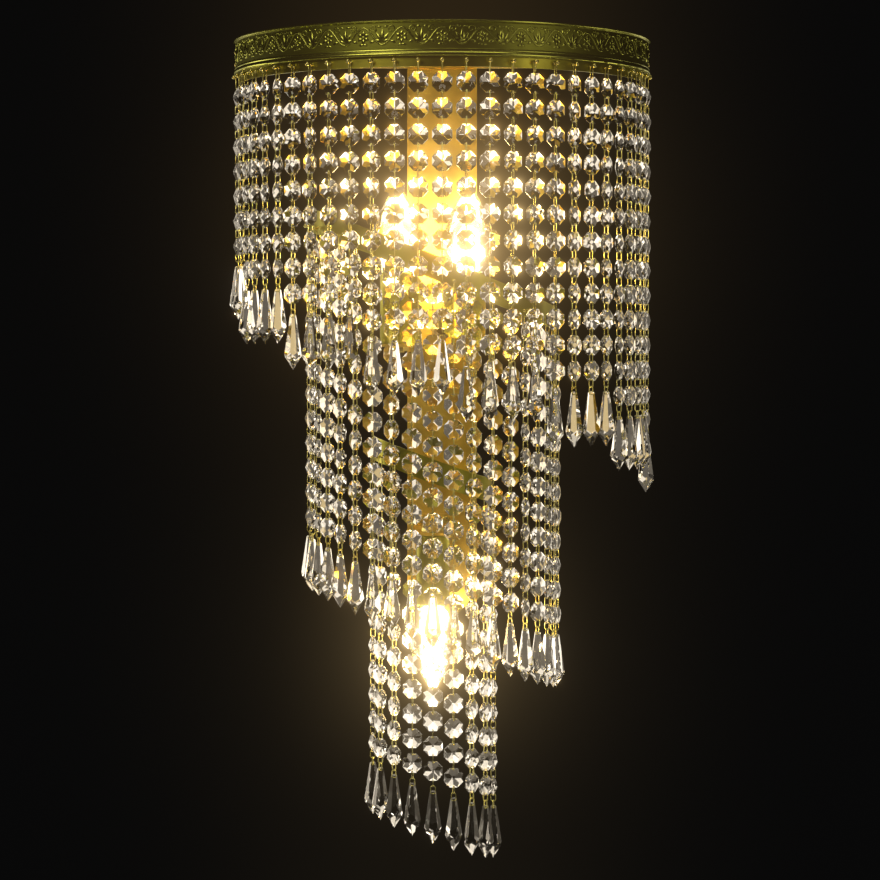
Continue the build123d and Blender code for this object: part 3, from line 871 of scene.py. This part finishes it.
# A fan of five leaves over its trough.
for turn, length, width in ((90, 9.2, 3.2), (55, 8.2, 2.9), (125, 8.2, 2.9), (20, 6.2, 2.5),
                            (160, 6.2, 2.5)):
    vine.leaf(REPEAT / 2, -3.9, length, width, turn, 0.85)
# A curled tendril and three small leaves on each side.
for side in (-1, 1):
    curl = []
    for i in range(CURL_POINTS):
        turn = math.radians(200 - 30 * i)
        reach = 2.6 - 0.13 * i
        middle = 4.9 - 0.6 * i / CURL_POINTS
        curl.append((side * (7.4 + reach * math.cos(turn)), middle + reach * math.sin(turn)))
    vine.stem(curl, [0.62 - 0.02 * i for i in range(CURL_POINTS)], 0.75)
    vine.leaf(side * 4.2, -4.4, 4.6, 2.4, 90 - side * 70, 0.7)
    vine.leaf(side * 3.2, -6.0, 4.2, 1.9, 90 + side * 80, 0.6)
    vine.leaf(side * 9.6, 6.6, 3.4, 1.8, 90 - side * 100, 0.6)
motif = new_object("vine_repeat", in_mm(vine.verts), vine.faces, smooth=True)
print("one repeat:", len(vine.faces), "faces over", round(REPEAT, 1), "mm")

# %% [markdown]
# The tree sets the repeats in a line, makes them real and bends the line: how far a point lies along
# it becomes its turn round the hoop, and how far it is raised becomes its distance out. What would
# pass the band's ends is cut off there, as it is on a real strip.

# %% Repeat the vine and bend it round the hoop
def trim_back(piece, limit):
    """Cut off what lies behind a plane at y = limit, as the ends of the strip are cut."""
    work = bmesh.new()
    work.from_mesh(piece.data)
    everything = work.verts[:] + work.edges[:] + work.faces[:]
    bmesh.ops.bisect_plane(work, geom=everything, plane_co=(0, limit, 0), plane_no=(0, 1, 0),
                           clear_outer=True)
    work.to_mesh(piece.data)
    work.free()


bend_tree, size = new_tree("strip bent round a hoop", [
    ("Repeat", "Object"), ("Repeats", "Int"), ("Repeat length", "Float"), ("Hoop radius", "Float"),
    ("Height", "Float"), ("Finish", "Material")])
work_out = partial(calculate, bend_tree)
line = bend_tree.nodes.new("GeometryNodeMeshLine")
line.mode = "OFFSET"
bend_tree.links.new(size["Repeats"], line.inputs["Count"])
half = work_out("MULTIPLY", work_out("SUBTRACT", size["Repeats"], 1.0), -0.5)
start = work_out("MULTIPLY", half, size["Repeat length"])
bend_tree.links.new(vector(bend_tree, X=size["Repeat length"]), line.inputs["Offset"])
bend_tree.links.new(vector(bend_tree, X=start), line.inputs["Start Location"])
strip = put_on_points(bend_tree, line.outputs["Mesh"], size["Repeat"])
flat = after(bend_tree, strip, "GeometryNodeRealizeInstances")
place = bend_tree.nodes.new("GeometryNodeInputPosition")
split = bend_tree.nodes.new("ShaderNodeSeparateXYZ")
bend_tree.links.new(place.outputs[0], split.inputs[0])
turn = work_out("DIVIDE", split.outputs["X"], size["Hoop radius"])
out = work_out("SUBTRACT", size["Hoop radius"], split.outputs["Y"])
forward = work_out("MULTIPLY", out, work_out("COSINE", turn))
bent = vector(bend_tree, X=work_out("MULTIPLY", out, work_out("SINE", turn)),
              Y=work_out("MULTIPLY", forward, -1.0),
              Z=work_out("ADD", split.outputs["Z"], size["Height"]))
moved = after(bend_tree, flat.outputs[0], "GeometryNodeSetPosition")
bend_tree.links.new(bent, moved.inputs["Position"])
close_tree(bend_tree, [moved.outputs[0]], size["Finish"])
relief = grow("vine_relief", points_with([(0, 0, 0)]), bend_tree, {
    "Repeat": motif, "Repeats": REPEATS, "Repeat length": REPEAT * MM, "Hoop radius": BAND_FACE,
    "Height": WALL_MIDDLE, "Finish": finishes["embossed_brass"]})
bpy.data.objects.remove(motif)
trim_back(relief, -PLATE * MM)
settle(band, "root", "embossed_brass", "top_band")
settle(relief, "root", "embossed_brass", "top_band")
print("relief faces:", len(relief.data.polygons))

# %% [markdown]
# ## Candle sleeves
# A sleeve is a length of thin brass tube that hides the lampholder. Its ends are rolled over so that
# they don't cut, and that small roll is what catches the light. It is a turned shape, so its section
# is drawn once and turned about the lamp's own axis.

# %% Lamp places and sleeves
# Each lamp's x, y and seat height in mm, and 1 where it points up or -1 where it points down.
LAMPS = {"left": (-31.5, -50.0, -11.0, 1), "right": (18.5, -50.0, -11.0, 1),
         "lower": (-6.5, -20.5, -147.0, -1)}


def at_lamp(name):
    """The matrix that sets a turned piece, drawn upwards from its seat, on a lamp's axis."""
    x, y, seat, up = LAMPS[name]
    turn = Matrix.Identity(4) if up > 0 else Matrix.Rotation(math.pi, 4, "X")
    return Matrix.Translation((x * MM, y * MM, seat * MM)) @ turn


SLEEVE_PROFILE = [(12.2, 0), (12.45, 0.3), (12.5, 0.8), (12.2, 1.3), (12.15, 48.6), (12.5, 49.1),
                  (12.5, 49.7), (12.2, 50.0), (11.85, 49.9), (11.7, 49.5), (11.7, 0.4), (11.9, 0)]
for name in LAMPS:
    sleeve = lathe(f"brass_sleeve_{name}", in_mm(SLEEVE_PROFILE), 48, closed=True)
    sleeve.data.transform(at_lamp(name))
    settle(sleeve, "root", "polished_brass", f"sleeve_{name}")
print("sleeves:", len(LAMPS))

# %% [markdown]
# ## Candle bulbs
# A small candle bulb: a glass blown to a flame's outline, a capsule that glows inside it, and a
# threaded cap with a contact at its end. The outline is a smooth curve through eight points. The
# thread is a ridge that climbs by one pitch each time round, so how far it stands out at a point
# depends on both height and turn, and a plain lathe can't draw it. So the cap is built point by point.

# %% Bulbs
GLASS_BASE, GLASS_LENGTH, GLASS_WALL, GLASS_WIDEST = 46.0, 66.0, 0.7, 17.5
# The glass's radius in mm at each share of its length, and the capsule's radius at each height.
GLASS_POINTS = [(7.0, 0.0), (9.8, 0.07), (14.875, 0.21), (17.4, 0.4), (15.225, 0.59), (9.275, 0.79),
                (3.15, 0.95), (0.0, 1.0)]
CAPSULE_PROFILE = [(0, 0), (2.0, 0), (2.2, 3), (1.8, 7), (3.2, 9.5), (5.0, 12), (5.6, 16), (5.4, 22),
                   (4.6, 27), (3.0, 31), (1.2, 33.5), (0, 34)]
# The cap's thread: where it starts and ends, its pitch, its core and how far its ridge stands out.
CAP_FOOT, CAP_TOP, PITCH, CAP_CORE, RIDGE = 26.5, 45.5, 3.2, 6.15, 0.72
CAP_STEP, RIDGE_EASE = 0.34, 1.5    # mm between rings, and over which the ridge rises at its ends


def smooth_outline(points, cells=5):
    """A smooth curve through every (radius, share) point."""
    line = []
    for i in range(len(points) - 1):
        p = [Vector(points[min(max(i + k, 0), len(points) - 1)]) for k in (-1, 0, 1, 2)]
        for j in range(cells):
            t = j / cells
            line.append(0.5 * (2 * p[1] + (p[2] - p[0]) * t
                               + (2 * p[0] - 5 * p[1] + 4 * p[2] - p[3]) * t * t
                               + (3 * p[1] - p[0] - 3 * p[2] + p[3]) * t ** 3))
    line.append(Vector(points[-1]))
    return [(max(v.x, 0.0), v.y) for v in line]


def warm_up(piece, middle, spread):
    """Store how hot each point is, 1 at the middle height of the glow and 0 far from it."""
    heat = piece.data.attributes.new("heat", "FLOAT", "POINT")
    for vert, value in zip(piece.data.vertices, heat.data):
        value.value = math.exp(-((vert.co.z / MM - GLASS_BASE - middle) / spread) ** 2)


def bulb_glass(name):
    """The blown glass, a thin wall with an inside and an outside."""
    outline = [(min(r, GLASS_WIDEST), GLASS_BASE + share * GLASS_LENGTH)
               for r, share in smooth_outline(GLASS_POINTS)]
    inside = [(max(r - GLASS_WALL, 0.0), h - 0.5) for r, h in reversed(outline) if h > GLASS_BASE + 1]
    shape = outline + inside + [(6.2, GLASS_BASE + 0.6), (0, GLASS_BASE + 0.6), (0, GLASS_BASE)]
    glass = lathe(f"candle_glass_{name}", in_mm(shape), 40, closed=True)
    warm_up(glass, 20, 15)
    glass.data.transform(at_lamp(name))
    glass.visible_shadow = False
    settle(glass, f"bulb_{name}", "bulb_glass", f"bulb_glass_{name}")


def glow_capsule(name):
    """The small lit capsule in the glass, with the stem that holds it."""
    shape = [(r, GLASS_BASE + 0.6 + h) for r, h in CAPSULE_PROFILE]
    capsule = lathe(f"glow_capsule_{name}", in_mm(shape), 24)
    warm_up(capsule, 19, 9)
    capsule.data.transform(at_lamp(name))
    settle(capsule, f"bulb_{name}", "bulb_glass", f"bulb_glass_{name}", "capsule_glow")


def bulb_cap(name, steps=40):
    """A threaded cap with a tapered insulator and a contact at its end."""
    rings = []
    for i in range(math.ceil((CAP_TOP - CAP_FOOT) / CAP_STEP) + 1):
        height = CAP_FOOT + i * CAP_STEP
        ease = min(1.0, (height - CAP_FOOT) / RIDGE_EASE, (CAP_TOP - height) / RIDGE_EASE + 0.05)
        waves = [0.5 + 0.5 * math.cos(2 * math.pi * (height / PITCH - k / steps)) for k in range(steps)]
        rings.append([(CAP_CORE + RIDGE * wave * max(ease, 0), height) for wave in waves])
    for radius, height in ((5.0, 24.4), (2.7, 23.6), (2.6, 22.6)):
        rings.insert(0, [(radius, height)] * steps)
    verts = []
    for ring in rings:
        for k, (radius, height) in enumerate(ring):
            turn = 2 * math.pi * k / steps
            verts.append((radius * MM * math.cos(turn), radius * MM * math.sin(turn), height * MM))
    ends = [tuple(range(steps)), tuple(range(len(verts) - steps, len(verts)))]
    cap = new_object(f"threaded_cap_{name}", verts, ends + between_loops(len(rings), steps), smooth=True)
    turn_outwards(cap)
    cap.data.transform(at_lamp(name))
    settle(cap, f"bulb_{name}", "bulb_cap", f"bulb_cap_{name}")


for name in LAMPS:
    bulb_glass(name)
    glow_capsule(name)
    bulb_cap(name)
print("bulbs:", len(LAMPS))

# %% [markdown]
# ## What keeps its CAD mesh
# The wall plate, the crossbars, the plain hoops, the brackets, the porcelain holders and the small
# plain hardware are already true to the object, so each keeps its mesh and takes its finish.

# %% Finishes for the CAD nodes
KEPT = {
    "satin_brass": ["wall_plate", "upper_crossbar", "middle_crossbar", "lower_crossbar",
                    "upper_lamp_bracket", "lower_lamp_bracket"],
    "polished_brass": ["rim_hoop", "middle_hoop", "lower_hoop"],
    "screw_brass": ["lamp_nipples"],
    "bush_plastic": ["cable_bush"],
    "contact_steel": ["lamp_contacts"],
    "holder_porcelain": ["lampholder_left", "lampholder_right", "lampholder_lower"],
}
for finish, names in KEPT.items():
    for name in names:
        mesh = nodes[name].data
        mesh.materials.clear()
        mesh.materials.append(finishes[finish])
print("CAD nodes kept:", sum(len(names) for names in KEPT.values()))

# %% [markdown]
# ## Camera
# The photograph was taken from straight ahead and a little above the sconce's middle, about two metres
# away. The curve of the band's lower edge against that of the hooks gives the height, and how fast
# the hooks close up towards the ends gives the distance. The camera is aimed down by less than two
# degrees, which brings the sconce into the middle of the picture.

# %% Camera
AIMED_DOWN = 1.775               # degrees
camera = bpy.data.objects.new("camera", bpy.data.cameras.new("camera"))
scene.collection.objects.link(camera)
camera.location = (-0.0015, -2.1, -0.015)
camera.rotation_euler = (math.radians(90 - AIMED_DOWN), 0, 0)
camera.data.sensor_width = 36.0
camera.data.lens = 119.2
scene.camera = camera
print("camera lens:", camera.data.lens, "mm")

# %% [markdown]
# ## Light and floor
# Crystal shows only what surrounds it. An octagon's kites bend the view by about 25 degrees, so what
# each facet shows lies close behind the strands. Upright strips of soft light stand there with dark
# gaps between them, which is what makes cut glass sparkle: one facet catches a strip and the next a
# gap. They are more golden behind the middle tier, where the brass plate tints the light. Large soft
# lights in front, above and at the sides show the brass. The lights themselves are out of the
# camera's sight. The floor is plain and pale and lies well below the sconce.

# %% Lights
def soft_light(name, place, aim, size, brightness, colour):
    """A flat soft light whose face has the given brightness, whatever its size."""
    light = bpy.data.lights.new(name, "AREA")
    light.shape = "RECTANGLE"
    light.size, light.size_y = size
    light.energy = brightness * math.pi * size[0] * size[1]
    light.color = colour
    lamp = bpy.data.objects.new(name, light)
    scene.collection.objects.link(lamp)
    lamp.location = place
    lamp.rotation_euler = (Vector(aim) - Vector(place)).to_track_quat("-Z", "Y").to_euler()
    lamp.visible_camera = False


def back_light(name, place, size, brightness, colour):
    """A soft light behind the strands that faces forwards."""
    soft_light(name, place, (place[0], -1, place[2]), size, brightness, colour)


MIDDLE = Vector((0, 0, -0.08))
WARM = (1.0, 0.88, 0.70)
GOLDEN = (1.0, 0.72, 0.30)
STRIP_WIDTH, STRIP_BEHIND = 0.028, 0.065
for name, place, size, brightness in (("key light", (-1.2, -1.6, 1.1), (0.9, 0.9), 3.5),
                                      ("fill light", (1.5, -1.3, 0.2), (0.7, 1.2), 1.0),
                                      ("top light", (0, -0.3, 1.5), (1.2, 0.6), 1.5),
                                      ("left side light", (-1.25, 0.75, -0.30), (0.5, 0.8), 2.4),
                                      ("right side light", (1.25, 0.75, -0.80), (0.5, 0.7), 2.0)):
    soft_light(name, place, MIDDLE, size, brightness, WARM)
back_light("wide back panel", (0, 0.07, -0.075), (0.52, 0.51), 0.12, WARM)
for number, x in enumerate((-0.20, -0.115, -0.04, 0.035, 0.11, 0.19), start=1):
    golden = abs(x) < 0.12
    for level, z, height, brightness, colour in (
            ("upper", 0.10, 0.15, 0.9, WARM),
            ("middle", -0.07, 0.18, 0.55 if golden else 0.85, GOLDEN if golden else WARM),
            ("lower", -0.245, 0.16, 0.85, WARM)):
        back_light(f"{level} back strip {number}", (x, STRIP_BEHIND, z), (STRIP_WIDTH, height), brightness,
                   colour)
back_light("upper back panel", (-0.006, 0.06, 0.0), (0.12, 0.18), 0.9, (1.0, 0.86, 0.66))
back_light("lower back panel", (-0.006, 0.06, -0.24), (0.05, 0.09), 1.3, (1.0, 0.90, 0.74))

world = bpy.data.worlds.new("studio")
world.use_nodes = True
world.node_tree.nodes["Background"].inputs["Color"].default_value = (0.0025, 0.0025, 0.0025, 1)
world.node_tree.nodes["Background"].inputs["Strength"].default_value = 1.0
scene.world = world

FLOOR_REACH, FLOOR_HEIGHT = 1.6, -1.1
corners = [(x * FLOOR_REACH, y * FLOOR_REACH, FLOOR_HEIGHT)
           for x, y in ((-1, -1), (1, -1), (1, 1), (-1, 1))]
floor = new_object("floor", corners, [(0, 1, 2, 3)])
shader, tree, where = finish_nodes("floor")
tree.links.new(two_tones(tree, drift(tree, where, 3.0), (0.82, 0.81, 0.79), (0.88, 0.87, 0.85)),
               shader.inputs["Base Color"])
shader.inputs["Roughness"].default_value = 0.7
floor.data.materials.append(finishes["floor"])
scene.view_settings.view_transform = "Standard"
scene.cycles.max_bounces = 24
scene.cycles.transmission_bounces = 24
scene.cycles.glossy_bounces = 8

# %% [markdown]
# ## The glow round the bulbs
# The lamps are far brighter than a camera can hold, and its lens spreads some of their light round
# them. Brighter bulbs alone would only give hard white patches. So the spread is added after the
# picture is taken, by a glare node that works on what is brighter than white.

# %% The lens's glow round the bulbs
scene.use_nodes = True
picture = scene.node_tree
picture.nodes.clear()
layers = picture.nodes.new("CompositorNodeRLayers")
glow = picture.nodes.new("CompositorNodeGlare")
result = picture.nodes.new("CompositorNodeComposite")
glow.glare_type = "BLOOM"
glow.quality = "HIGH"
for socket, value in (("Threshold", 1.5), ("Maximum", 14.0), ("Strength", 0.9), ("Size", 0.5)):
    glow.inputs[socket].default_value = value
glow.inputs["Clamp"].default_value = True
picture.links.new(layers.outputs["Image"], glow.inputs["Image"])
picture.links.new(glow.outputs["Image"], result.inputs["Image"])
print("picture nodes:", len(picture.nodes))
